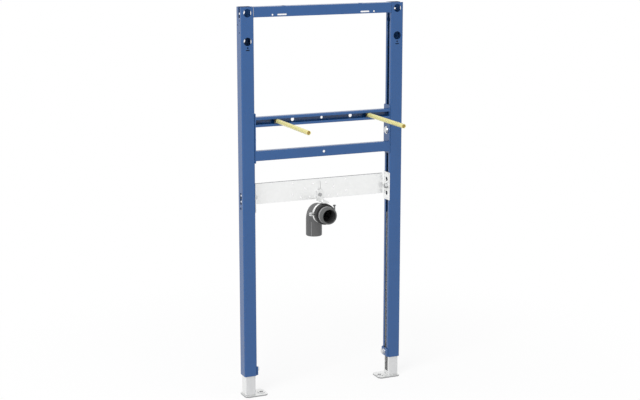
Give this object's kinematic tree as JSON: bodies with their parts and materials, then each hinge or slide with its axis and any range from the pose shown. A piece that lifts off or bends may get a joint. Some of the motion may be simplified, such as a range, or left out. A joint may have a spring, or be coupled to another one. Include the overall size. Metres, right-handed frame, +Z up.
{
  "type": "basin installation frame",
  "caption": "Floor-standing steel frame for a wall-hung washbasin: slotted uprights on telescopic feet, cross rails, sleeved basin studs and a plate that carries the waste bend.",
  "frame": {"origin": "on the floor, midway between the two floor bolt holes", "axes": "+X right seen from the front, +Y back towards the wall, +Z up"},
  "size_m": [0.525, 0.336, 1.185],
  "materials": {
    "blue_paint": "satin powder coat",
    "zinc": "galvanised",
    "waste_pipe": "moulded polyethylene",
    "rubber": "matt rubber",
    "sleeve": "thin tube"
  },
  "bodies": {
    "frame": {"basin_rail": "blue_paint", "bend_bracket": "zinc", "bracket_bolt": "zinc", "clamp_lining": "rubber", "clamp_lower_half": "zinc", "clamp_rivet": "zinc", "clamp_screw": "zinc", "clamp_upper_half": "zinc", "drain_plate": "zinc", "left_basin_stud": "zinc", "left_drain_bolt": "zinc", "left_drain_nut": "zinc", "left_end_plate": "blue_paint", "left_foot_clamp": "blue_paint", "left_lock_bolt": "zinc", "left_lock_nut": "zinc", "left_rail_bolt": "zinc", "left_rail_nut": "zinc", "left_stud_nut": "zinc", "left_stud_sleeve": "sleeve", "left_upright": "blue_paint", "lower_rail": "blue_paint", "right_basin_stud": "zinc", "right_drain_bolt": "zinc", "right_drain_nut": "zinc", "right_end_plate": "blue_paint", "right_foot_clamp": "blue_paint", "right_lock_bolt": "zinc", "right_lock_nut": "zinc", "right_rail_bolt": "zinc", "right_rail_nut": "zinc", "right_stud_nut": "zinc", "right_stud_sleeve": "sleeve", "right_upright": "blue_paint", "top_rail": "blue_paint", "waste_bend": "waste_pipe", "waste_collar": "rubber", "waste_seal": "rubber"},
    "left_foot": {"left_foot_tube": "zinc"},
    "right_foot": {"right_foot_tube": "zinc"},
    "left_sole": {"left_foot_plate": "zinc", "left_foot_pivot": "zinc"},
    "right_sole": {"right_foot_plate": "zinc", "right_foot_pivot": "zinc"}
  },
  "joints": [
    {"name": "left_foot_slide", "type": "slide", "parent": "frame", "child": "left_foot", "axis": [0, 0, -1], "range_m": [-0.055, 0.135]},
    {"name": "left_sole_swivel", "type": "hinge", "parent": "left_foot", "child": "left_sole", "pos_m": [-0.2425, 0, 0], "axis": [0, 0, 1], "range_deg": [-90, 90]},
    {"name": "right_foot_slide", "type": "slide", "parent": "frame", "child": "right_foot", "axis": [0, 0, -1], "range_m": [-0.055, 0.135]},
    {"name": "right_sole_swivel", "type": "hinge", "parent": "right_foot", "child": "right_sole", "pos_m": [0.2425, 0, 0], "axis": [0, 0, 1], "range_deg": [-90, 90]}
  ]
}
